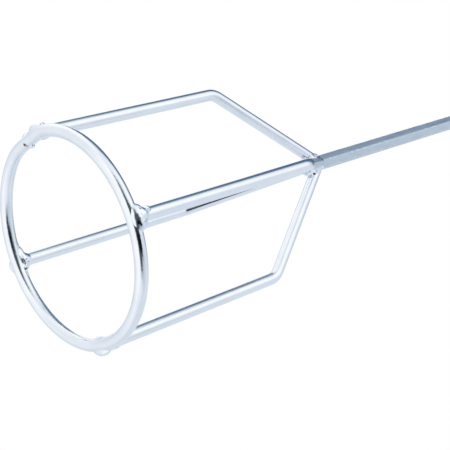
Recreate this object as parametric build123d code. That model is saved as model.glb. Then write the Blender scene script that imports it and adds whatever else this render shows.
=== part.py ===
"""Mortar mixing paddle: hex drive shaft, four bent rod arms and a hoop, welded together.

Millimetres. +Z runs up the shaft. The origin is the centre of the circle the hoop stands on.
"""
import os
from math import cos, hypot, pi, radians, sin, tan

from build123d import *

# Overall sizes
overall_length = 600.0      # floor under the hoop to the tip of the shank
hoop_diameter = 140.0       # outside of the hoop
rod_diameter = 8.0          # round bar of the hoop and of the arms
hex_flats = 10.0            # across the flats of the shaft

# Arms
shoulder_height = 150.0     # where the straight leg and the sloping leg would meet in a corner
slope_angle = 39.5          # sloping leg away from the shaft's axis
bend_radius = 14.0          # centreline of the bend
arm_turns = (0.0, 86.0, 177.0, 270.0)   # arms as set by hand before welding
hex_turn = -10.0            # a corner of the shaft against the first arm

# Shaft ends
shank_crown = 2.0           # length along the axis of the rounding at the drill end
shank_crown_depth = 1.2     # measured from the corners inwards
root_overhang = 2.7         # sawn end inside the cage, below the lowest point of the arms' mitred ends

# Welds
weld_reach_out = 2.4        # outer bead beyond the outside of the hoop
weld_reach_in = 1.6         # inner bead beyond the inside of the hoop
weld_run_past_arm = 4.0     # along the hoop, each way from the side of the arm
weld_rise = 6.5             # up the arm from the crown of the hoop
weld_lap = 6.5              # down the side of the hoop from its crown
hub_weld_swell = 5.6        # hub bead beyond the flats of the shaft
hub_weld_past_toe = 5.2     # hub bead above the tops of the arms' mitred ends
hub_weld_set_back = 1.2     # hub beads above the sawn end of the shaft
hub_weld_lap = 6.0          # degrees each hub bead runs past the centreline of an arm

# Sizes that follow
rod_radius = rod_diameter / 2
hoop_radius = hoop_diameter / 2 - rod_radius
hoop_height = rod_radius
hoop_crown = hoop_height + rod_radius
hex_corner_radius = hex_flats / 2 / cos(pi / 6)
slope = radians(slope_angle)
hub_height = shoulder_height + (hoop_radius - hex_corner_radius) / tan(slope)
toe_height = rod_radius / sin(slope)    # half the height of an arm's mitred end
shaft_bottom = hub_height - toe_height - root_overhang
weld_half_length = rod_radius + weld_run_past_arm
hub_weld_half_height = toe_height + hub_weld_past_toe


def turned(shape, degrees):
    """The shape turned about the shaft's axis."""
    return Rot(0, 0, degrees) * shape


def sector(start, end, inner, outer):
    """A flat patch between two turns and two radii about the shaft's axis."""
    turns = [radians(start + (end - start) * step / 4) for step in range(5)]
    near = [(inner * cos(turn), inner * sin(turn)) for turn in turns]
    far = [(outer * cos(turn), outer * sin(turn)) for turn in reversed(turns)]
    return make_face(Polyline(*near, *far, near[0]))


def ellipsoid(radial, sideways, height):
    """A closed lump with its half sizes along X, Y and Z."""
    return scale(Sphere(1), by=(radial, sideways, height))


def make_shaft():
    """Hexagonal bar, sawn square inside the cage and turned to a rounded edge at the drill end."""
    length = overall_length - shaft_bottom
    bar = extrude(RegularPolygon(hex_corner_radius, 6), length)
    end_radius = hex_corner_radius - shank_crown_depth
    drop = (shank_crown**2 + hex_corner_radius**2 - end_radius**2) / (2 * shank_crown)
    crown = Pos(0, 0, length - drop) * Sphere(hypot(end_radius, drop))
    skirt = Pos(0, 0, length / 2 - shank_crown) * Cylinder(2 * hex_corner_radius, length)
    return Pos(0, 0, shaft_bottom) * turned(bar & (crown + skirt), hex_turn)


def make_arm():
    """One bent rod in the XZ plane, its top end mitred flat against the shaft."""
    overrun = 3 * rod_diameter
    past_hub = overrun * cos(slope)
    inward = overrun * sin(slope)
    path = FilletPolyline(
        (hoop_radius, 0, hoop_crown),
        (hoop_radius, 0, shoulder_height),
        (hex_corner_radius - inward, 0, hub_height + past_hub),
        radius=bend_radius,
    )
    rod = sweep(Plane(origin=path @ 0, z_dir=path % 0) * Circle(rod_radius), path=path)
    mitre = Plane(origin=(hex_corner_radius, 0, 0), z_dir=(1, 0, 0))
    return split(rod, bisect_by=mitre, keep=Keep.TOP)


def make_hoop():
    """The ring of round bar the paddle stirs with."""
    return Pos(0, 0, hoop_height) * Torus(hoop_radius, rod_radius)


def make_hoop_weld(reach, outer, arm, hoop):
    """One bead on the outer or inner side of the joint between the first arm and the hoop."""
    middle = hoop_crown + (weld_rise - weld_lap) / 2
    half_height = (weld_rise + weld_lap) / 2
    lump = ellipsoid(rod_radius + reach, weld_half_length, half_height)
    bead = Pos(hoop_radius, 0, middle) * lump - hoop - arm
    seam = Plane(origin=(hoop_radius, 0, 0), z_dir=(1, 0, 0))
    return split(bead, bisect_by=seam, keep=Keep.TOP if outer else Keep.BOTTOM)


def make_hub_welds(arms, shaft):
    """Four beads, each filling the corner between two neighbouring arms and the shaft."""
    swell = hex_flats / 2 + hub_weld_swell
    half_outline = EllipticalCenterArc((0, 0), swell, hub_weld_half_height, start_angle=-90, arc_size=180)
    section = make_face(half_outline + Line(half_outline @ 1, half_outline @ 0))
    puddle = Pos(0, 0, hub_height) * revolve(Plane.XZ * section, Axis.Z)
    bottom = shaft_bottom + hub_weld_set_back
    beads = []
    for i, turn in enumerate(arm_turns):
        following = (i + 1) % len(arm_turns)
        start = turn + hub_weld_lap
        end = start + (arm_turns[following] - turn) % 360
        patch = sector(start, end, hex_flats / 4, 2 * swell)
        wedge = Pos(0, 0, bottom) * extrude(patch, 2 * hub_weld_half_height)
        beads.append((puddle & wedge) - shaft - arms[i] - arms[following])
    return beads


shaft = make_shaft()
hoop = make_hoop()
pattern_arm = make_arm()
arms = [turned(pattern_arm, turn) for turn in arm_turns]
outer_bead = make_hoop_weld(weld_reach_out, True, pattern_arm, hoop)
inner_bead = make_hoop_weld(weld_reach_in, False, pattern_arm, hoop)
hub_beads = make_hub_welds(arms, shaft)

nodes = {"shaft": shaft, "hoop": hoop}
for number, turn in enumerate(arm_turns, start=1):
    nodes[f"arm_{number}"] = arms[number - 1]
    nodes[f"weld_hoop_outer_{number}"] = turned(outer_bead, turn)
    nodes[f"weld_hoop_inner_{number}"] = turned(inner_bead, turn)
    nodes[f"weld_hub_{number}"] = hub_beads[number - 1]

os.makedirs("parts", exist_ok=True)
for name, solid in nodes.items():
    solid.label = name
    export_step(solid, f"parts/{name}.step")
    print(name, len(solid.solids()), round(solid.volume, 2), solid.is_valid)
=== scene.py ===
import math
import random

import bmesh
import bpy
import numpy as np
from mathutils import Matrix, Vector, noise


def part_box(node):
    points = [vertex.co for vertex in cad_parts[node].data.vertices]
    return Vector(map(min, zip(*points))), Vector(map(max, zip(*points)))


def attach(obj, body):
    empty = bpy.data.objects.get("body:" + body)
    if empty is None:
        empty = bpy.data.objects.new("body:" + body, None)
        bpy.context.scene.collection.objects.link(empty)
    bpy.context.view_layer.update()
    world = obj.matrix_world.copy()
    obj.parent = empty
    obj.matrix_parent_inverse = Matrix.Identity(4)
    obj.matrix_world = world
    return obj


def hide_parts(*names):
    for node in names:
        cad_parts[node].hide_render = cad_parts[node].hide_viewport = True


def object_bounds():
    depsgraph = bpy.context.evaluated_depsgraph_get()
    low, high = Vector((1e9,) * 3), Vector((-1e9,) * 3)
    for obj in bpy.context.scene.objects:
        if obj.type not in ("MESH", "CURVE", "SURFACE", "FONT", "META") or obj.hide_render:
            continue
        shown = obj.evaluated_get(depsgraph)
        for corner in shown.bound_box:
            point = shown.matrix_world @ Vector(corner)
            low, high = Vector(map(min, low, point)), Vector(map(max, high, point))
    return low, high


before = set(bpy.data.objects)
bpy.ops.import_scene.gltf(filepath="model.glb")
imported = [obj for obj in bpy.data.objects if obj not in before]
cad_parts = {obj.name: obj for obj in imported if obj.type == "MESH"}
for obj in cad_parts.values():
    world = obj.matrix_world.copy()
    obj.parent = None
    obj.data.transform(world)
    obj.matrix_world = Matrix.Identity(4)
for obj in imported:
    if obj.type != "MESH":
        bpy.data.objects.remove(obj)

cadLow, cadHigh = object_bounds()
mm = 0.001

armNames = [f"arm_{number}" for number in range(1, 5)]
hoopLow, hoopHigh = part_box("hoop")
shaftLow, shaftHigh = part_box("shaft")
barRadius = (hoopHigh.z - hoopLow.z) / 2
hoopRadius = (hoopHigh.x - hoopLow.x) / 2 - barRadius
hoopMiddle = (hoopLow + hoopHigh) / 2
crownHeight = hoopHigh.z


def armTurn(name):
    # direction of an arm about the shaft, from the middle of its own mesh
    points = [v.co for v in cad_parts[name].data.vertices]
    middle = sum(points, Vector()) / len(points)
    return math.atan2(middle.y, middle.x)


armTurns = [armTurn(name) for name in armNames]
print("frame read:", [round(math.degrees(turn), 1) for turn in armTurns])


def linear(hexColour):
    # sRGB hex to the linear colour that a socket takes
    channels = [int(hexColour[i:i + 2], 16) / 255 for i in (1, 3, 5)]
    return (*[c / 12.92 if c <= 0.04045 else ((c + 0.055) / 1.055) ** 2.4 for c in channels], 1.0)


def addNode(tree, kind, settings=None, inputs=None):
    # one node, its settings, and its inputs as values or as sockets to link from
    node = tree.nodes.new(kind)
    for name, value in (settings or {}).items():
        setattr(node, name, value)
    for key, value in (inputs or {}).items():
        if isinstance(value, bpy.types.NodeSocket):
            tree.links.new(value, node.inputs[key])
        else:
            node.inputs[key].default_value = value
    return node


def radialDirection(turn):
    return Vector((math.cos(turn), math.sin(turn), 0))


def newPiece(name, mesh, material, node):
    # a finished piece: it rides with the paddle and stands for one node of the model
    piece = bpy.data.objects.new(name, mesh)
    bpy.context.scene.collection.objects.link(piece)
    if not mesh.materials:
        mesh.materials.append(material)
    mesh.shade_smooth()
    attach(piece, "root")
    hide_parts(node)
    return piece


noiseLow, noiseHigh = 0.3, 0.7          # nearly all of a noise texture lies between these


def startMaterial(name):
    # an all-metal material with its node tree and shader
    material = bpy.data.materials.new(name)
    material.use_nodes = True
    tree = material.node_tree
    tree.nodes.clear()
    shader = addNode(tree, "ShaderNodeBsdfPrincipled", None, {"Metallic": 1.0})
    addNode(tree, "ShaderNodeOutputMaterial", None, {"Surface": shader.outputs[0]})
    return material, tree, shader


brightZinc = {
    "pale": "#F4F6F8",          # fresh zinc
    "cool": "#E3E9F0",          # clear blue passivation, thicker
    "cloud": 14 * mm,           # size of the passivation clouds
    "drawLine": 0.6 * mm,       # spacing of the die lines, drawn coarser than the real 0.1 mm
    "drawLineDepth": 0.004 * mm,
    "smooth": 0.09,
    "rough": 0.17,
}
drawnSkin = {
    "grain": 0.8 * mm,          # fine orange peel of the plating
    "grainDepth": 0.005 * mm,
    "spot": 4 * mm,             # shallow unevenness of the steel below it
    "spotDepth": 0.012 * mm,
}
rolledSkin = {
    "grain": 0.8 * mm,
    "grainDepth": 0.018 * mm,
    "spot": 2.2 * mm,
    "spotDepth": 0.05 * mm,
}


def makeBrightZinc(name, skin):
    # bright zinc electroplated on drawn round bar: near mirror, broken up by fine orange peel
    # and by the rollers' marks, which are deeper on the hoop
    values = brightZinc
    material, tree, shader = startMaterial(name)
    place = addNode(tree, "ShaderNodeTexCoord").outputs["Object"]
    section = addNode(tree, "ShaderNodeAttribute", {"attribute_name": "barSection"}).outputs["Vector"]
    cloud = addNode(tree, "ShaderNodeTexNoise", None,
                    {"Vector": place, "Scale": 1 / values["cloud"], "Detail": 3.0, "Roughness": 0.6})
    colour = addNode(tree, "ShaderNodeMix", {"data_type": "RGBA"},
                     {0: cloud.outputs[0], 6: linear(values["pale"]), 7: linear(values["cool"])})
    tree.links.new(colour.outputs[2], shader.inputs["Base Color"])
    rough = addNode(tree, "ShaderNodeMapRange", None,
                    {0: cloud.outputs[0], 1: noiseLow, 2: noiseHigh,
                     3: values["smooth"], 4: values["rough"]})
    tree.links.new(rough.outputs[0], shader.inputs["Roughness"])
    reliefs = (
        ({"Vector": section, "Scale": 1 / values["drawLine"], "Detail": 1.0}, values["drawLineDepth"]),
        ({"Vector": place, "Scale": 1 / skin["spot"], "Detail": 1.0}, skin["spotDepth"]),
        ({"Vector": place, "Scale": 1 / skin["grain"], "Detail": 2.0}, skin["grainDepth"]),
    )
    normal = None
    for settings, depth in reliefs:
        height = addNode(tree, "ShaderNodeTexNoise", None, settings).outputs[0]
        bump = addNode(tree, "ShaderNodeBump", None, {"Strength": 1.0, "Distance": depth, "Height": height})
        if normal:
            tree.links.new(normal, bump.inputs["Normal"])
        normal = bump.outputs[0]
    tree.links.new(normal, shader.inputs["Normal"])
    return material


hexZinc = {
    "pale": "#D6E0E7",
    "cool": "#C2D0DC",
    "speck": "#F2F5F8",
    "speckNoise": (0.66, 0.74),     # specks fade in over this part of the grain's noise
    "mottle": 3.5 * mm,
    "fine": 0.8 * mm,           # crystal grain of the dull plating
    "fineDepth": 0.012 * mm,
    "smooth": 0.30,
    "rough": 0.46,
    "cornerHighlight": "#F6F9FB",          # painted highlight: pale dashes along the corners, kept light whatever they reflect
    "cornerHighlightSize": 1.8 * mm,
    "cornerHighlightNoise": (0.60, 0.66),
    "cornerHighlightMetal": 0.3,
}


def makeHexZinc():
    # zinc over the scaly skin of drawn hexagon bar: duller and greyer, with fine mottling and painted
    # highlight dashes along the corners
    values = hexZinc
    material, tree, shader = startMaterial("dullZincOnHexBar")
    place = addNode(tree, "ShaderNodeTexCoord").outputs["Object"]
    stretched = addNode(tree, "ShaderNodeMapping", None, {"Vector": place, "Scale": (1.0, 1.0, 0.25)})
    mottle = addNode(tree, "ShaderNodeTexNoise", None,
                     {"Vector": stretched.outputs[0], "Scale": 1 / values["mottle"],
                      "Detail": 5.0, "Roughness": 0.65})
    colour = addNode(tree, "ShaderNodeMix", {"data_type": "RGBA"},
                     {0: mottle.outputs[0], 6: linear(values["pale"]), 7: linear(values["cool"])})
    fine = addNode(tree, "ShaderNodeTexNoise", None,
                   {"Vector": place, "Scale": 1 / values["fine"], "Detail": 3.0, "Roughness": 0.7})
    speckFrom, speckTo = values["speckNoise"]
    isSpeck = addNode(tree, "ShaderNodeMapRange", None, {0: fine.outputs[0], 1: speckFrom, 2: speckTo})
    specked = addNode(tree, "ShaderNodeMix", {"data_type": "RGBA"},
                      {0: isSpeck.outputs[0], 6: colour.outputs[2], 7: linear(values["speck"])})
    ridge = addNode(tree, "ShaderNodeAttribute", {"attribute_name": "ridge"}).outputs["Fac"]
    # painted highlight: where the corner ridge meets the dash noise the colour turns pale
    highlightDashes = addNode(tree, "ShaderNodeTexNoise", None,
                     {"Vector": place, "Scale": 1 / values["cornerHighlightSize"], "Detail": 1.0})
    highlightFrom, highlightTo = values["cornerHighlightNoise"]
    dashed = addNode(tree, "ShaderNodeMapRange", None, {0: highlightDashes.outputs[0], 1: highlightFrom, 2: highlightTo})
    paintedHighlight = addNode(tree, "ShaderNodeMath", {"operation": "MULTIPLY"}, {0: ridge, 1: dashed.outputs[0]})
    highlighted = addNode(tree, "ShaderNodeMix", {"data_type": "RGBA"},
                    {0: paintedHighlight.outputs[0], 6: specked.outputs[2], 7: linear(values["cornerHighlight"])})
    tree.links.new(highlighted.outputs[2], shader.inputs["Base Color"])
    # the painted highlight is also less metallic, so it stays light whatever it reflects
    metal = addNode(tree, "ShaderNodeMapRange", None,
                    {0: paintedHighlight.outputs[0], 3: 1.0, 4: values["cornerHighlightMetal"]})
    tree.links.new(metal.outputs[0], shader.inputs["Metallic"])
    rough = addNode(tree, "ShaderNodeMapRange", None,
                    {0: mottle.outputs[0], 1: noiseLow, 2: noiseHigh,
                     3: values["smooth"], 4: values["rough"]})
    tree.links.new(rough.outputs[0], shader.inputs["Roughness"])
    bump = addNode(tree, "ShaderNodeBump", None,
                   {"Strength": 1.0, "Distance": values["fineDepth"], "Height": fine.outputs[0]})
    tree.links.new(bump.outputs[0], shader.inputs["Normal"])
    return material


weldZinc = {
    "pale": "#F5F7F9",
    "cool": "#E0E8F0",
    "pit": "#15171B",           # slag and shadow in the craters
    "rust": "#9A5A2B",          # bare steel that the plating missed
    "cloud": 2.5 * mm,
    "grain": 0.7 * mm,
    "grainDepth": 0.010 * mm,
    "smooth": 0.07,
    "rough": 0.18,
    "craterRough": 0.85,
}


def makeWeldZinc():
    # zinc plated over an arc weld: glassy on the puddles, black and rusty in the craters
    values = weldZinc
    material, tree, shader = startMaterial("zincOverArcWeld")
    place = addNode(tree, "ShaderNodeTexCoord").outputs["Object"]
    cloud = addNode(tree, "ShaderNodeTexNoise", None,
                    {"Vector": place, "Scale": 1 / values["cloud"], "Detail": 3.0})
    colour = addNode(tree, "ShaderNodeMix", {"data_type": "RGBA"},
                     {0: cloud.outputs[0], 6: linear(values["pale"]), 7: linear(values["cool"])})
    pit = addNode(tree, "ShaderNodeAttribute", {"attribute_name": "pit"}).outputs["Fac"]
    rust = addNode(tree, "ShaderNodeAttribute", {"attribute_name": "rust"}).outputs["Fac"]
    rusty = addNode(tree, "ShaderNodeMix", {"data_type": "RGBA"},
                    {0: rust, 6: colour.outputs[2], 7: linear(values["rust"])})
    pitted = addNode(tree, "ShaderNodeMix", {"data_type": "RGBA"},
                     {0: pit, 6: rusty.outputs[2], 7: linear(values["pit"])})
    tree.links.new(pitted.outputs[2], shader.inputs["Base Color"])
    dull = addNode(tree, "ShaderNodeMath", {"operation": "MAXIMUM"}, {0: pit, 1: rust})
    metal = addNode(tree, "ShaderNodeMapRange", None, {0: dull.outputs[0], 3: 1.0, 4: 0.0})
    tree.links.new(metal.outputs[0], shader.inputs["Metallic"])
    rough = addNode(tree, "ShaderNodeMapRange", None,
                    {0: cloud.outputs[0], 1: noiseLow, 2: noiseHigh,
                     3: values["smooth"], 4: values["rough"]})
    rougher = addNode(tree, "ShaderNodeMix", None,
                      {0: dull.outputs[0], 2: rough.outputs[0], 3: values["craterRough"]})
    tree.links.new(rougher.outputs[0], shader.inputs["Roughness"])
    grain = addNode(tree, "ShaderNodeTexNoise", None,
                    {"Vector": place, "Scale": 1 / values["grain"], "Detail": 2.0})
    bump = addNode(tree, "ShaderNodeBump", None,
                   {"Strength": 1.0, "Distance": values["grainDepth"], "Height": grain.outputs[0]})
    tree.links.new(bump.outputs[0], shader.inputs["Normal"])
    return material


zincArmFinish = makeBrightZinc("brightZincOnDrawnBar", drawnSkin)
zincHoopFinish = makeBrightZinc("brightZincOnRolledHoop", rolledSkin)
zincHexFinish = makeHexZinc()
zincWeldFinish = makeWeldZinc()
print("finishes made")


def startTree(name, inputs):
    # an empty geometry tree with its named inputs
    tree = bpy.data.node_groups.new(name, "GeometryNodeTree")
    tree.interface.new_socket("Geometry", in_out="INPUT", socket_type="NodeSocketGeometry")
    for label, kind in inputs.items():
        tree.interface.new_socket(label, in_out="INPUT", socket_type=kind)
    tree.interface.new_socket("Geometry", in_out="OUTPUT", socket_type="NodeSocketGeometry")
    return tree, tree.nodes.new("NodeGroupInput")


def runTree(name, tree, points, closed, values):
    # the tree run on a path of points, its result as a plain mesh
    path = bpy.data.meshes.new(name + "Path")
    edges = [(i, i + 1) for i in range(len(points) - 1)]
    if closed:
        edges.append((len(points) - 1, 0))
    path.from_pydata([tuple(p) for p in points], edges, [])
    carrier = bpy.data.objects.new(name + "Carrier", path)
    bpy.context.scene.collection.objects.link(carrier)
    modifier = carrier.modifiers.new(tree.name, "NODES")
    modifier.node_group = tree
    for item in tree.interface.items_tree:
        if item.in_out == "INPUT" and item.name in values:
            modifier[item.identifier] = values[item.name]
    depsgraph = bpy.context.evaluated_depsgraph_get()
    mesh = bpy.data.meshes.new_from_object(carrier.evaluated_get(depsgraph), depsgraph=depsgraph)
    carrier.modifiers.remove(modifier)
    bpy.data.objects.remove(carrier)
    bpy.data.meshes.remove(path)
    mesh.name = name
    return mesh


roundBar = {
    "bendRings": 24,            # rings round each bend
    "hollow": 9 * mm,           # from one shallow hollow of the skin to the next
    "leastTip": 0.05,           # the end's last ring, as a share of the bar's radius
}


def addWander(tree, geometry, size, depth, seed):
    # sinks a swept surface along its normal by soft noise, never outwards
    place = addNode(tree, "GeometryNodeInputPosition").outputs[0]
    bumps = addNode(tree, "ShaderNodeTexNoise", {"noise_dimensions": "4D"},
                    {"Vector": place, "W": seed, "Scale": 1 / size, "Detail": 2.0})
    sunk = addNode(tree, "ShaderNodeMath", {"operation": "SUBTRACT"}, {0: bumps.outputs[0], 1: 1.0})
    push = addNode(tree, "ShaderNodeMath", {"operation": "MULTIPLY"}, {0: sunk.outputs[0], 1: depth})
    normal = addNode(tree, "GeometryNodeInputNormal").outputs[0]
    offset = addNode(tree, "ShaderNodeVectorMath", {"operation": "SCALE"},
                     {0: normal, "Scale": push.outputs[0]})
    moved = addNode(tree, "GeometryNodeSetPosition", None,
                    {"Geometry": geometry, "Offset": offset.outputs[0]})
    return moved.outputs[0]


def closeTree(tree, geometry, material):
    # the end of every tree: smooth, real geometry with its finish on
    smooth = addNode(tree, "GeometryNodeSetShadeSmooth", None, {"Geometry": geometry})
    real = addNode(tree, "GeometryNodeRealizeInstances", None, {0: smooth.outputs[0]})
    painted = addNode(tree, "GeometryNodeSetMaterial", None,
                      {"Geometry": real.outputs[0], "Material": material})
    addNode(tree, "NodeGroupOutput", None, {0: painted.outputs[0]})


def makeRoundBarTree():
    # round bar along a path of straight runs, its corners bent to a radius
    tree, given = startTree("bentRoundBar", {
        "Bar radius": "NodeSocketFloat", "Bend radius": "NodeSocketFloat",
        "Ring spacing": "NodeSocketFloat", "Facets": "NodeSocketInt",
        "Tip": "NodeSocketVector", "Tip rounding": "NodeSocketFloat",
        "Wander": "NodeSocketFloat", "Seed": "NodeSocketFloat", "Finish": "NodeSocketMaterial"})
    curve = addNode(tree, "GeometryNodeMeshToCurve", None, {"Mesh": given.outputs["Geometry"]})
    bent = addNode(tree, "GeometryNodeFilletCurve", {"mode": "POLY"},
                   {"Curve": curve.outputs[0], "Radius": given.outputs["Bend radius"],
                    "Count": roundBar["bendRings"]})
    even = addNode(tree, "GeometryNodeResampleCurve", {"mode": "LENGTH"},
                   {"Curve": bent.outputs[0], "Length": given.outputs["Ring spacing"]})
    # the melted end: the section shrinks to a dome over the tip rounding
    place = addNode(tree, "GeometryNodeInputPosition").outputs[0]
    toTip = addNode(tree, "ShaderNodeVectorMath", {"operation": "DISTANCE"},
                    {0: place, 1: given.outputs["Tip"]})
    share = addNode(tree, "ShaderNodeMath", {"operation": "DIVIDE", "use_clamp": True},
                    {0: toTip.outputs["Value"], 1: given.outputs["Tip rounding"]})
    rest = addNode(tree, "ShaderNodeMath", {"operation": "SUBTRACT"}, {0: 2.0, 1: share.outputs[0]})
    dome = addNode(tree, "ShaderNodeMath", {"operation": "MULTIPLY"},
                   {0: share.outputs[0], 1: rest.outputs[0]})
    root = addNode(tree, "ShaderNodeMath", {"operation": "SQRT"}, {0: dome.outputs[0]})
    factor = addNode(tree, "ShaderNodeMath", {"operation": "MAXIMUM"},
                     {0: root.outputs[0], 1: roundBar["leastTip"]})
    circle = addNode(tree, "GeometryNodeCurvePrimitiveCircle", None,
                     {"Resolution": given.outputs["Facets"], "Radius": given.outputs["Bar radius"]})
    section = addNode(tree, "GeometryNodeStoreNamedAttribute", {"data_type": "FLOAT_VECTOR"},
                      {"Geometry": circle.outputs[0], "Name": "barSection", "Value": place})
    swept = addNode(tree, "GeometryNodeCurveToMesh", None,
                    {"Curve": even.outputs[0], "Profile Curve": section.outputs[0],
                     "Scale": factor.outputs[0], "Fill Caps": True})
    wavy = addWander(tree, swept.outputs[0], roundBar["hollow"],
                     given.outputs["Wander"], given.outputs["Seed"])
    closeTree(tree, wavy, given.outputs["Finish"])
    return tree


roundBarTree = makeRoundBarTree()
print("bar tree made")
farAway = (0, 0, 10)            # a tip out of reach leaves a bar its full section

hoopBar = {
    "stations": 180,
    "spacing": 0.9 * mm,
    "facets": 64,
    "wander": 0.10 * mm,
    "seed": 3.0,
    "closingTurn": math.radians(-8.5),      # where the ring was closed, off the fourth arm
    "flatDepth": 1.6 * mm,      # the ends of the bar stay straight beside the closing weld
    "flatTurn": math.radians(20),
}
closingTurn = armTurns[3] + hoopBar["closingTurn"]


def hoopLine(turn):
    # radius of the middle of the bar at a turn, a little flat where the ring was closed
    off = np.abs((turn - closingTurn + math.pi) % (2 * math.pi) - math.pi)
    share = np.minimum(1, off / hoopBar["flatTurn"])
    return hoopRadius - hoopBar["flatDepth"] * np.cos(share * math.pi / 2) ** 2


def makeHoop():
    values = hoopBar
    steps = [2 * math.pi * i / values["stations"] for i in range(values["stations"])]
    points = [hoopMiddle + radialDirection(step) * float(hoopLine(step)) for step in steps]
    mesh = runTree("hoopBar", roundBarTree, points, True, {
        "Bar radius": barRadius, "Bend radius": 0.0, "Ring spacing": values["spacing"],
        "Facets": values["facets"], "Tip": farAway, "Tip rounding": 1 * mm,
        "Wander": values["wander"], "Seed": values["seed"], "Finish": zincHoopFinish})
    newPiece("hoopBar", mesh, zincHoopFinish, "hoop")


armBar = {
    "shoulderHeight": 150 * mm,     # sharp corner of the bend above the floor
    "slope": math.radians(39.5),    # sloping leg off the shaft's axis
    "bendRadius": 14 * mm,
    "footSink": 1.5 * mm,           # the foot goes this far into the crown of the hoop
    "reachPastShaftCorner": 8.5 * mm,   # the top end is carried on into the shaft
    "tipRounding": 2 * mm,
    "spacing": 0.6 * mm,
    "facets": 48,
    "wander": 0.10 * mm,
    "seed": 20.0,
}
hexBar = {
    "flats": 10 * mm,
    "turn": math.radians(-10),
    "cornerRounding": 0.45 * mm,
    "crown": 2.0 * mm,              # length of the rounding turned on the drill end
    "crownDepth": 1.2 * mm,
    "crownRings": 8,
    "spacing": 2.5 * mm,
    "sectionPoints": 240,
    "wander": 0.05 * mm,
    "hollow": 5 * mm,               # from one shallow hollow of the skin to the next
    "drawnOut": 0.2,                # the hollows are five times as long along the bar
    "ridgeTurn": 0.07,              # how far round from a corner its painted highlight dashes reach
}
hexCorner = hexBar["flats"] / 2 / math.cos(math.pi / 6)
hubHeight = armBar["shoulderHeight"] + (hoopRadius - hexCorner) / math.tan(armBar["slope"])


def armPoints(turn):
    # foot in the crown of the hoop, corner of the bend, and the melted end in the shaft
    outward = radialDirection(turn)
    up = Vector((0, 0, 1))
    foot = outward * hoopRadius + up * (crownHeight - armBar["footSink"])
    corner = outward * hoopRadius + up * armBar["shoulderHeight"]
    hub = outward * hexCorner + up * hubHeight
    tip = hub + (hub - corner).normalized() * armBar["reachPastShaftCorner"]
    return foot, corner, tip


def makeArm(number, turn):
    values = armBar
    foot, corner, tip = armPoints(turn)
    mesh = runTree(f"armBar{number}", roundBarTree, (foot, corner, tip), False, {
        "Bar radius": barRadius, "Bend radius": values["bendRadius"], "Ring spacing": values["spacing"],
        "Facets": values["facets"], "Tip": tuple(tip), "Tip rounding": values["tipRounding"],
        "Wander": values["wander"], "Seed": values["seed"] + number, "Finish": zincArmFinish})
    newPiece(f"armBar{number}", mesh, zincArmFinish, f"arm_{number}")


def hexSection(count):
    # points round a hexagon with small rounded corners: turn, radius and nearness to a corner
    values = hexBar
    inner = hexCorner - values["cornerRounding"] / math.cos(math.pi / 6)
    section = []
    for i in range(count):
        turn = 2 * math.pi * i / count
        across = (turn + math.pi / 6) % (math.pi / 3) - math.pi / 6    # off the nearest corner
        flat = values["flats"] / 2 / math.cos(math.pi / 6 - abs(across))
        reach = values["cornerRounding"] ** 2 - (inner * math.sin(across)) ** 2
        corner = inner * math.cos(across) + math.sqrt(reach) if reach > 0 else flat
        nearness = math.exp(-(across / values["ridgeTurn"]) ** 2)
        section.append((turn + values["turn"], min(flat, corner), nearness))
    return section


def makeHexBar():
    # rings up the bar, the last ones drawn in by the rounded drill end
    values = hexBar
    endRadius = hexCorner - values["crownDepth"]
    drop = (values["crown"] ** 2 + hexCorner ** 2 - endRadius ** 2) / (2 * values["crown"])
    crownRadius = math.hypot(endRadius, drop)
    crownMiddle = shaftHigh.z - drop
    rings = int((shaftHigh.z - shaftLow.z) / values["spacing"])
    heights = [shaftLow.z + i * values["spacing"] for i in range(rings)]
    crownFoot = shaftHigh.z - values["crown"]
    heights = [z for z in heights if z < crownFoot - 1 * mm]
    crownRings = values["crownRings"]
    heights += [crownFoot + values["crown"] * i / crownRings for i in range(crownRings + 1)]
    section = hexSection(values["sectionPoints"])
    count = len(section)
    points = []
    for z in heights:
        above = max(0.0, z - crownMiddle)
        limit = math.sqrt(max(crownRadius ** 2 - above ** 2, endRadius ** 2))
        for turn, radius, ridge in section:
            place = radialDirection(turn) * min(radius, limit)
            spot = place + Vector((0, 0, z * values["drawnOut"]))
            swell = noise.noise(spot * (1 / values["hollow"])) * values["wander"]
            points.append(place * (1 - abs(swell) / hexCorner) + Vector((0, 0, z)))
    faces = []
    for ring in range(len(heights) - 1):
        for i in range(count):
            a, b = ring * count + i, ring * count + (i + 1) % count
            faces.append((a, b, b + count, a + count))
    top = (len(heights) - 1) * count
    faces.append(tuple(range(top, top + count)))
    faces.append(tuple(reversed(range(count))))
    mesh = bpy.data.meshes.new("hexBar")
    mesh.from_pydata([tuple(p) for p in points], [], faces)
    ridges = [ridge for turn, radius, ridge in section] * len(heights)
    mesh.attributes.new("ridge", "FLOAT", "POINT").data.foreach_set("value", ridges)
    newPiece("hexBar", mesh, zincHexFinish, "shaft")
    for face in mesh.polygons[-2:]:     # the two ends stay flat
        face.use_smooth = False


makeHoop()
for number, turn in enumerate(armTurns, start=1):
    makeArm(number, turn)
makeHexBar()
print("hoop, arms and shaft made")


def barDistance(points, start, end):
    # distance to the skin of a straight round bar
    start, end = np.array(start), np.array(end)
    along = end - start
    share = np.clip((points - start) @ along / (along @ along), 0, 1)
    return np.linalg.norm(points - start - share[:, None] * along, axis=1) - barRadius


def hoopDistance(points):
    # distance to the skin of the hoop
    turns = np.arctan2(points[:, 1], points[:, 0])
    outward = np.hypot(points[:, 0], points[:, 1]) - hoopLine(turns)
    return np.hypot(outward, points[:, 2] - hoopMiddle.z) - barRadius


def hexDistance(points):
    # distance to the flats of the shaft, near enough beside it
    nearest = shaftLow.z - points[:, 2]
    for i in range(6):
        turn = hexBar["turn"] + math.pi / 6 + i * math.pi / 3
        across = points[:, 0] * math.cos(turn) + points[:, 1] * math.sin(turn) - hexBar["flats"] / 2
        nearest = np.maximum(nearest, across)
    return nearest


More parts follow.
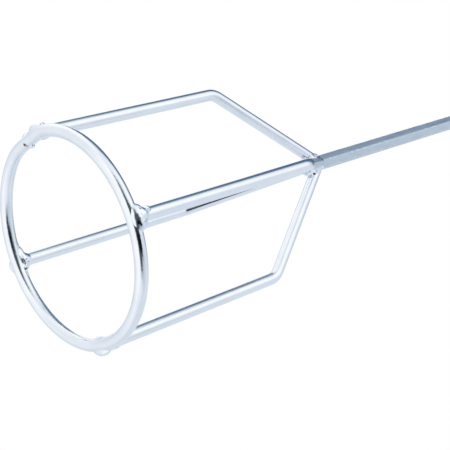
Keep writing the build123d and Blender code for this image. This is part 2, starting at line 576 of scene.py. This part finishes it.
def lumpDistance(points, centre, turn, halfSizes):
    # distance to an ellipsoid whose first size points away from the shaft
    local = points - np.array(centre)
    c, s = math.cos(turn), math.sin(turn)
    outward = local[:, 0] * c + local[:, 1] * s
    sideways = local[:, 1] * c - local[:, 0] * s
    turned = np.stack([outward, sideways, local[:, 2]], 1)
    near = np.linalg.norm(turned / np.array(halfSizes), axis=1)
    steep = np.linalg.norm(turned / np.array(halfSizes) ** 2, axis=1)
    return near * (near - 1) / np.maximum(steep, 1e-9)


def melted(a, b, blend):
    # union of two shapes with a fillet where they meet
    share = np.clip(0.5 + 0.5 * (b - a) / blend, 0, 1)
    return b * (1 - share) + a * share - blend * share * (1 - share)


blob = {
    "steps": 40,                # coarse steps along each ray, outwards
    "halvings": 12,             # then the step that crosses the skin is halved
    "rustRamp": (1.8, 0.5),     # contrast of a crater's colour, and where it stops short of the rim
    "pitRamp": (2.0, 0.9),
}


def blobMesh(name, centre, shape, furthest, level, skin, craters):
    # a closed lump: each point of a ball slides out along its ray to the last skin of the shape
    work = bmesh.new()
    bmesh.ops.create_icosphere(work, subdivisions=level, radius=1.0)
    rays = np.array([v.co.normalized() for v in work.verts])
    centre = np.array(centre)
    relief = np.array([skin(Vector(ray)) for ray in rays])

    def inside(reach):
        return shape(centre + rays * reach[:, None]) - relief < 0

    steps = blob["steps"]
    low = np.zeros(len(rays))
    for i in range(steps):
        reach = np.full(len(rays), furthest * i / steps)
        low = np.where(inside(reach), reach, low)
    high = low + furthest / steps
    for i in range(blob["halvings"]):
        middle = (low + high) / 2
        deeper = inside(middle)
        low = np.where(deeper, middle, low)
        high = np.where(deeper, high, middle)
    pit = np.zeros(len(rays))
    rust = np.zeros(len(rays))
    for towards, width, depth, rusty in craters:
        spread = np.arccos(np.clip(rays @ np.array(towards), -1, 1)) * low / width
        hollow = np.exp(-spread ** 2)
        low = low - depth * hollow
        gain, cut = blob["rustRamp" if rusty else "pitRamp"]
        colour = np.clip(hollow * gain - cut, 0, 1)
        if rusty:
            rust = np.maximum(rust, colour)
        else:
            pit = np.maximum(pit, colour)
    for v, place in zip(work.verts, centre + rays * low[:, None]):
        v.co = place
    mesh = bpy.data.meshes.new(name)
    work.to_mesh(mesh)
    work.free()
    for label, data in (("pit", pit), ("rust", rust)):
        mesh.attributes.new(label, "FLOAT", "POINT").data.foreach_set("value", data)
    return mesh


hoopWeld = {
    "halfLength": 5.0 * mm,     # of the ring of metal round the foot of the arm, along the hoop
    "halfHeight": 3.0 * mm,
    "lift": 1.6 * mm,           # its middle above the crown of the hoop
    "outerReach": 0.5 * mm,     # beyond the outside of the hoop
    "innerReach": 0.2 * mm,     # beyond the inside
    "outerFillet": 1.5 * mm,    # how far the metal wets out over the bars
    "innerFillet": 2.8 * mm,
    "blend": 1.6 * mm,          # how far one puddle runs into the next
    "lumps": 2.6,               # fine lumps, in waves over the ball's radius
    "lumpiness": 0.10 * mm,
    "limit": (8 * mm, 17 * mm, 11 * mm),    # no metal past this from where the arm meets the crown
    "sink": 0.3 * mm,           # below the skin of the bars where there is no bead
    "lap": 0.3 * mm,            # the outer and the inner bead overlap this much
    "clearance": 0.3 * mm,      # above the floor
    "centre": 2.2 * mm,         # middle of the ball, off the arm's axis
    "furthest": 18 * mm,        # longest ray
    "fineness": 7,              # times the ball is divided
    "craters": 4,
    "craterWidth": (0.3 * mm, 0.5 * mm),
    "craterDepth": (0.3 * mm, 0.5 * mm),
    # puddles in mm from where the arm meets the crown: outwards, along the hoop, up,
    # then the half sizes in the same order
    "outer": {
        1: (((3.0, 0.5, -1.6), (2.9, 7.6, 4.6)), ((3.6, -1.0, 1.2), (2.3, 2.6, 2.6)),
            ((0.5, -2.6, 5.2), (4.6, 2.4, 2.4))),
        2: (((3.7, 6.2, -4.8), (2.6, 7.8, 2.8)), ((1.8, 1.0, -0.6), (2.6, 4.5, 2.4))),
        3: (((3.9, -1.2, -4.8), (2.4, 4.4, 3.0)), ((2.2, 2.0, -0.6), (3.2, 4.0, 2.6)),
            ((3.6, -4.4, -3.6), (1.9, 1.9, 2.2))),
        4: (((3.3, -3.4, -0.8), (3.0, 6.0, 3.2)), ((3.8, 1.6, 1.4), (1.8, 1.4, 1.4))),
    },
    "inner": {
        1: (((-2.6, 0.0, -0.2), (2.2, 4.5, 2.4)),),
        2: (((-2.7, 9.0, -2.0), (2.3, 7.0, 1.9)), ((-2.0, 0.0, 0.2), (1.6, 3.4, 1.6))),
        3: (((-1.8, 2.0, -0.2), (2.4, 7.0, 2.2)), ((-3.6, -5.4, -0.6), (1.2, 1.1, 1.1))),
        4: (((-1.8, -1.0, 0.2), (1.6, 3.4, 1.6)),),
    },
    "seed": 5,
}
widestWeld = min(cadHigh.x, cadHigh.y, -cadLow.x, -cadLow.y) - hoopWeld["lumpiness"]


def makeHoopWeld(number, turn, outer):
    # the outer or the inner bead of the joint between an arm and the hoop
    values = hoopWeld
    rng = random.Random(values["seed"] * 100 + number * 10 + outer)
    outward, sideways = radialDirection(turn), radialDirection(turn + math.pi / 2)
    up = Vector((0, 0, 1))
    joint = outward * hoopRadius + up * crownHeight
    foot, corner = armPoints(turn)[:2]
    side = 1 if outer else -1
    reach = values["outerReach"] if outer else values["innerReach"]
    fillet = values["outerFillet"] if outer else values["innerFillet"]
    ring = joint + up * values["lift"]
    core = (barRadius + reach, values["halfLength"], values["halfHeight"])
    puddles = []
    for (out, along, high), sizes in values["outer" if outer else "inner"][number]:
        # the offset along the hoop is bent round with it
        facing = turn + along * mm / hoopRadius
        place = radialDirection(facing) * (hoopRadius + out * mm) + up * (crownHeight + high * mm)
        puddles.append((place, facing, [size * mm for size in sizes]))

    def shape(points):
        bead = lumpDistance(points, ring, turn, core)
        for place, facing, sizes in puddles:
            bead = melted(bead, lumpDistance(points, place, facing, sizes), values["blend"])
        bars = np.minimum(hoopDistance(points), barDistance(points, foot, corner))
        bead = melted(bead, bars + values["sink"], fillet)
        local = points - np.array(joint)
        seam = -side * (local @ np.array(outward)) - values["lap"]
        widest = np.hypot(points[:, 0], points[:, 1]) - widestWeld
        bound = np.maximum(widest, lumpDistance(points, joint, turn, values["limit"]))
        floorGap = values["clearance"] - points[:, 2]
        return np.maximum(np.maximum(bead, seam), np.maximum(bound, floorGap))

    def skin(ray):
        shift = Vector((number * 7.0, side * 3.0, 0))    # so that no two beads are alike
        return noise.noise(ray * values["lumps"] + shift) * values["lumpiness"]

    craters = []
    for i in range(values["craters"]):
        ray = outward * side * rng.uniform(0.4, 1)
        ray += sideways * rng.uniform(-1, 1) + up * rng.uniform(-0.2, 1)
        width, depth = rng.uniform(*values["craterWidth"]), rng.uniform(*values["craterDepth"])
        craters.append((ray.normalized(), width, depth, i == 0))
    label = "Outer" if outer else "Inner"
    centre = joint + outward * side * values["centre"]
    mesh = blobMesh(f"hoopWeld{label}{number}", centre, shape, values["furthest"],
                    values["fineness"], skin, craters)
    node = f"weld_hoop_{label.lower()}_{number}"
    newPiece(f"hoopWeld{label}{number}", mesh, zincWeldFinish, node)


closingWeld = {
    "halfWidth": 1.9 * mm,      # along the hoop
    "swell": 0.28 * mm,         # all round the bar
    "fillet": 0.8 * mm,
    # beads proud of the band: outwards, along the hoop, up, then the half sizes, in mm
    "beads": (((3.6, 0.2, 0.2), (1.9, 2.6, 2.6)), ((-3.6, 1.0, 0.2), (1.4, 1.6, 1.9)),
              ((-4.0, 2.8, -0.6), (0.9, 0.9, 1.0))),
    "lumps": 3.0,
    "lumpiness": 0.08 * mm,
    "clearance": 0.03 * mm,     # above the floor
    # craters: how far inwards and downwards they face, width and depth in mm, rusty or not
    "craters": ((0.45, 1.0, 1.2, 0.1, True), (0.8, 0.8, 0.5, 0.2, False)),
    "furthest": 9 * mm,
    "fineness": 6,
}


def makeClosingWeld():
    # the weld that closed the ring
    values = closingWeld
    turn = closingTurn
    middle = radialDirection(turn) * float(hoopLine(turn)) + Vector((0, 0, hoopMiddle.z))
    band = (barRadius + 3 * values["swell"], values["halfWidth"], barRadius + 3 * values["swell"])
    beads = []
    for (out, along, high), sizes in values["beads"]:
        place = middle + (radialDirection(turn) * out + radialDirection(turn + math.pi / 2) * along) * mm
        place.z += high * mm
        beads.append((place, [size * mm for size in sizes]))

    def shape(points):
        bead = np.maximum(lumpDistance(points, middle, turn, band), hoopDistance(points) - values["swell"])
        for place, sizes in beads:
            bead = melted(bead, lumpDistance(points, place, turn, sizes), values["fillet"])
        return np.maximum(bead, values["clearance"] - points[:, 2])

    def skin(ray):
        shift = Vector((3.0, 9.0, 0))
        return noise.noise(ray * values["lumps"] + shift) * values["lumpiness"]

    inward, down = -radialDirection(turn), Vector((0, 0, -1))
    craters = [((inward * aside + down * below).normalized(), width * mm, depth * mm, rusty)
               for aside, below, width, depth, rusty in values["craters"]]
    mesh = blobMesh("hoopClosingWeld", middle, shape, values["furthest"],
                    values["fineness"], skin, craters)
    newPiece("hoopClosingWeld", mesh, zincWeldFinish, "hoop")


hubWeld = {
    "swell": 6.5 * mm,          # radius of the puddle about the shaft's axis
    "halfHeight": 5.6 * mm,
    "fillet": 1.4 * mm,
    "blend": 1.6 * mm,
    "seam": 3.6 * mm,           # wets the line where an arm lies against the shaft
    "sink": 0.45 * mm,          # below the skin of the bars where there is no bead
    "lap": 0.6 * mm,            # past the middle of each arm
    "puddles": 5,
    "puddleReach": (5.4, 6.4),      # mm, middle of a puddle off the shaft's axis
    "puddleHeight": (-5.5, 2.0),    # mm, from where the arms' axes meet the shaft
    "puddleSize": (1.8, 2.8),       # mm, half sizes
    "firstPuddle": 0.28,            # puddles start at this share of the span between two arms
    "puddleSpan": 0.44,             # and take up this share of it
    "overhang": 3 * mm,             # no metal further than this outside the core
    "sawnEndGap": 1.2 * mm,         # above the sawn end of the shaft
    "lumps": 3.1,
    "lumpiness": 0.2 * mm,
    "centre": 5 * mm,               # middle of the ball, off the shaft's axis
    "furthest": 16 * mm,
    "fineness": 7,
    "craters": 5,
    "rustyCraters": 2,
    "craterWidth": (0.45, 0.75),    # mm
    "craterDepth": (0.4, 0.8),      # mm
    "seed": 9,
}


def makeHubWeld(number):
    # the bead in the corner between two neighbouring arms and the shaft
    values = hubWeld
    rng = random.Random(values["seed"] * 100 + number)
    start = armTurns[number - 1]
    span = (armTurns[number % 4] - start) % (2 * math.pi)
    middle = start + span / 2
    ends = []
    for turn in (start, start + span):
        corner, tip = armPoints(turn)[1:]
        ends.append((corner, tip + (corner - tip).normalized() * barRadius))    # round end at the tip
    hub = Vector((0, 0, hubHeight))
    puddles = []
    for i in range(values["puddles"]):
        share = values["firstPuddle"] + values["puddleSpan"] * (i + 0.5) / values["puddles"]
        place = radialDirection(start + span * share) * rng.uniform(*values["puddleReach"]) * mm
        place.z = hubHeight + rng.uniform(*values["puddleHeight"]) * mm
        puddles.append((place, [rng.uniform(*values["puddleSize"]) * mm for axis in range(3)]))
    core = (values["swell"], values["swell"], values["halfHeight"])
    limit = [size + values["overhang"] for size in core]
    first, last = radialDirection(start + math.pi / 2), radialDirection(start + span - math.pi / 2)
    lowest = shaftLow.z + values["sawnEndGap"]

    def shape(points):
        bead = lumpDistance(points, hub, 0, core)
        for place, sizes in puddles:
            bead = melted(bead, lumpDistance(points, place, middle, sizes), values["blend"])
        arms = np.minimum(*[barDistance(points, corner, inner) for corner, inner in ends])
        bars = melted(hexDistance(points), arms, values["seam"])
        bead = melted(bead, bars + values["sink"], values["fillet"])
        for side in (first, last):
            bead = np.maximum(bead, -(points @ np.array(side)) - values["lap"])
        bound = lumpDistance(points, hub, 0, limit)
        return np.maximum(np.maximum(bead, lowest - points[:, 2]), bound)

    def skin(ray):
        shift = Vector((number * 5.0, 0, 0))
        return noise.noise(ray * values["lumps"] + shift) * values["lumpiness"]

    craters = []
    for i in range(values["craters"]):
        ray = radialDirection(middle + rng.uniform(-0.6, 0.6)) + Vector((0, 0, rng.uniform(-0.7, 0.9)))
        width, depth = [rng.uniform(*values[key]) * mm for key in ("craterWidth", "craterDepth")]
        craters.append((ray.normalized(), width, depth, i < values["rustyCraters"]))
    centre = hub + radialDirection(middle) * values["centre"]
    mesh = blobMesh(f"hubWeld{number}", centre, shape, values["furthest"],
                    values["fineness"], skin, craters)
    newPiece(f"hubWeld{number}", mesh, zincWeldFinish, f"weld_hub_{number}")


for number, turn in enumerate(armTurns, start=1):
    makeHoopWeld(number, turn, True)
    makeHoopWeld(number, turn, False)
    makeHubWeld(number)
makeClosingWeld()
print("welds laid")


shot = {
    "from": Vector((0.5406, 0.0075, -0.3492)),      # off the middle of the hoop's floor circle
    "towards": Vector((-0.75177, 0.01903, 0.65915)),
    "up": Vector((0.18548, -0.95313, 0.23905)),
    "lens": 86.0,
    "sensor": 36.0,
    "near": 0.01,
    "far": 50,
}


def makeCamera():
    # returns the camera's own right, up and backward directions
    towards = shot["towards"].normalized()
    right = towards.cross(shot["up"]).normalized()
    up = right.cross(towards)
    data = bpy.data.cameras.new("studioCamera")
    data.lens = shot["lens"]
    data.sensor_width = shot["sensor"]
    data.clip_start, data.clip_end = shot["near"], shot["far"]
    camera = bpy.data.objects.new("studioCamera", data)
    turned = Matrix((right, up, -towards)).transposed().to_4x4()
    camera.matrix_world = Matrix.Translation(shot["from"]) @ turned
    bpy.context.scene.collection.objects.link(camera)
    bpy.context.scene.camera = camera
    return right, up, -towards


studioRight, studioUp, studioBack = makeCamera()

studio = {
    "floor": "#EEF0F2",
    "floorRadius": 3.0,
    "floorFacets": 96,
    "fadeFrom": 0.35,           # the floor melts into the white surround between these radii
    "fadeTo": 1.6,
    "fill": "#D7DEE7",          # level of the room where no card stands
    "strength": 1.13,
    "lampAt": (0.5, -0.6, 1.6),         # overhead softbox, for the shadow on the floor
    "lampTowards": (-0.5, 0.6, -1.4),
    "lampSize": 1.2,
    "lampPower": 18,
    # cards round the paddle, each laid over the ones before it: degrees to the right of
    # straight behind the camera, degrees up, softness of the edge in degrees, colour
    "cards": [
        ((-100, 60), (26, 90), 5, "#E9EDF2"),       # ceiling
        ((-185, -25), (28, 100), 30, "#FFFFFF"),    # ceiling bounce on the left
        ((-115, -25), (-65, 55), 30, "#E9ECF0"),    # left wall
        ((-56, -6), (-10, 37), 30, "#FFFFFF"),      # big softbox
        ((-85, -8), (-58, 4), 30, "#FAFBFC"),       # table bounce
        ((-100, 23), (-72, -50), 30, "#EDEFF3"),
        ((-4, 87), (-49, -9), 6, "#C8D0DA"),        # right of the table
        ((3, 54), (-45, -19), 8, "#B7BFC9"),
        ((-8, 22), (17, 42), 20, "#858C94"),        # gap above the camera
        ((18, 58), (-16, 22), 6, "#3A4048"),        # dark side where the camera stands
        ((-6, 24), (-12, 26), 12, "#50565E"),       # the camera itself
        ((-6, 34), (-40, -10), 12, "#4A525B"),      # stand below it
        ((8, 54), (-24, -3), 8, "#101214"),         # black flag beside the stand
        ((50, 95), (11, 63), 30, "#FFFFFF"),        # strip light
        ((122, 215), (2, 71), 30, "#4F6A88"),       # dark blue room behind
        ((-195, -169), (32, 61), 8, "#4F6A88"),
    ],
}


def makeFloor():
    # a round sheet of pale paper that fades into the white surround
    work = bmesh.new()
    bmesh.ops.create_circle(work, cap_ends=True, segments=studio["floorFacets"],
                            radius=studio["floorRadius"])
    mesh = bpy.data.meshes.new("studioFloor")
    work.to_mesh(mesh)
    work.free()
    floor = bpy.data.objects.new("studioFloor", mesh)
    bpy.context.scene.collection.objects.link(floor)
    material = bpy.data.materials.new("palePaper")
    material.use_nodes = True
    tree = material.node_tree
    tree.nodes.clear()
    place = addNode(tree, "ShaderNodeTexCoord").outputs["Object"]
    paper = addNode(tree, "ShaderNodeBsdfDiffuse", None, {"Color": linear(studio["floor"])})
    white = addNode(tree, "ShaderNodeEmission", None, {"Color": (1, 1, 1, 1), "Strength": 1.0})
    gone = addNode(tree, "ShaderNodeBsdfTransparent")
    radius = addNode(tree, "ShaderNodeVectorMath", {"operation": "LENGTH"}, {0: place})
    far = addNode(tree, "ShaderNodeMapRange", {"interpolation_type": "SMOOTHSTEP"},
                  {0: radius.outputs["Value"], 1: studio["fadeFrom"], 2: studio["fadeTo"]})
    faded = addNode(tree, "ShaderNodeMixShader", None,
                    {0: far.outputs[0], 1: paper.outputs[0], 2: white.outputs[0]})
    # the paper is seen from above only, so it doesn't hide the paddle from a low camera
    under = addNode(tree, "ShaderNodeNewGeometry").outputs["Backfacing"]
    sheet = addNode(tree, "ShaderNodeMixShader", None,
                    {0: under, 1: faded.outputs[0], 2: gone.outputs[0]})
    addNode(tree, "ShaderNodeOutputMaterial", None, {"Surface": sheet.outputs[0]})
    mesh.materials.append(material)
    floor.visible_glossy = False


def softRange(tree, value, low, high, edge):
    # 1 between low and high, falling softly to 0 over the edge on both sides
    rise = addNode(tree, "ShaderNodeMapRange", {"interpolation_type": "SMOOTHSTEP"},
                   {0: value, 1: low - edge / 2, 2: low + edge / 2})
    fall = addNode(tree, "ShaderNodeMapRange", {"interpolation_type": "SMOOTHSTEP"},
                   {0: value, 1: high + edge / 2, 2: high - edge / 2})
    both = addNode(tree, "ShaderNodeMath", {"operation": "MULTIPLY"},
                   {0: rise.outputs[0], 1: fall.outputs[0]})
    return both.outputs[0]


def makeStudioLight():
    # the cards light the paddle and show in it, and the camera sees plain white behind it
    world = bpy.data.worlds.new("studio")
    bpy.context.scene.world = world
    world.use_nodes = True
    tree = world.node_tree
    tree.nodes.clear()
    ray = addNode(tree, "ShaderNodeTexCoord").outputs["Generated"]
    parts = [addNode(tree, "ShaderNodeVectorMath", {"operation": "DOT_PRODUCT"},
                     {0: ray, 1: axis}).outputs["Value"] for axis in (studioRight, studioUp, studioBack)]
    turn = addNode(tree, "ShaderNodeMath", {"operation": "ARCTAN2"}, {0: parts[0], 1: parts[2]})
    lift = addNode(tree, "ShaderNodeMath", {"operation": "ARCSINE"}, {0: parts[1]})
    across = addNode(tree, "ShaderNodeMath", {"operation": "DEGREES"}, {0: turn.outputs[0]}).outputs[0]
    height = addNode(tree, "ShaderNodeMath", {"operation": "DEGREES"}, {0: lift.outputs[0]}).outputs[0]
    colour = linear(studio["fill"])
    for sides, heights, edge, card in studio["cards"]:
        beside = softRange(tree, across, *sides, edge)
        level = softRange(tree, height, *heights, edge)
        share = addNode(tree, "ShaderNodeMath", {"operation": "MULTIPLY"}, {0: beside, 1: level})
        mixed = addNode(tree, "ShaderNodeMix", {"data_type": "RGBA"},
                        {0: share.outputs[0], 6: colour, 7: linear(card)})
        colour = mixed.outputs[2]
    room = addNode(tree, "ShaderNodeBackground", None, {"Color": colour, "Strength": studio["strength"]})
    backdrop = addNode(tree, "ShaderNodeBackground", None, {"Color": (1, 1, 1, 1), "Strength": 1.0})
    seen = addNode(tree, "ShaderNodeLightPath").outputs["Is Camera Ray"]
    both = addNode(tree, "ShaderNodeMixShader", None, {0: seen, 1: room.outputs[0], 2: backdrop.outputs[0]})
    addNode(tree, "ShaderNodeOutputWorld", None, {"Surface": both.outputs[0]})
    softbox = bpy.data.lights.new("overheadSoftbox", "AREA")
    softbox.shape = "DISK"
    softbox.size = studio["lampSize"]
    softbox.energy = studio["lampPower"]
    lamp = bpy.data.objects.new("overheadSoftbox", softbox)
    lamp.location = studio["lampAt"]
    lamp.rotation_euler = Vector(studio["lampTowards"]).to_track_quat("-Z", "Y").to_euler()
    lamp.visible_glossy = False
    bpy.context.scene.collection.objects.link(lamp)
    bpy.context.scene.view_settings.view_transform = "Standard"


makeFloor()
makeStudioLight()
print("floor and studio set")
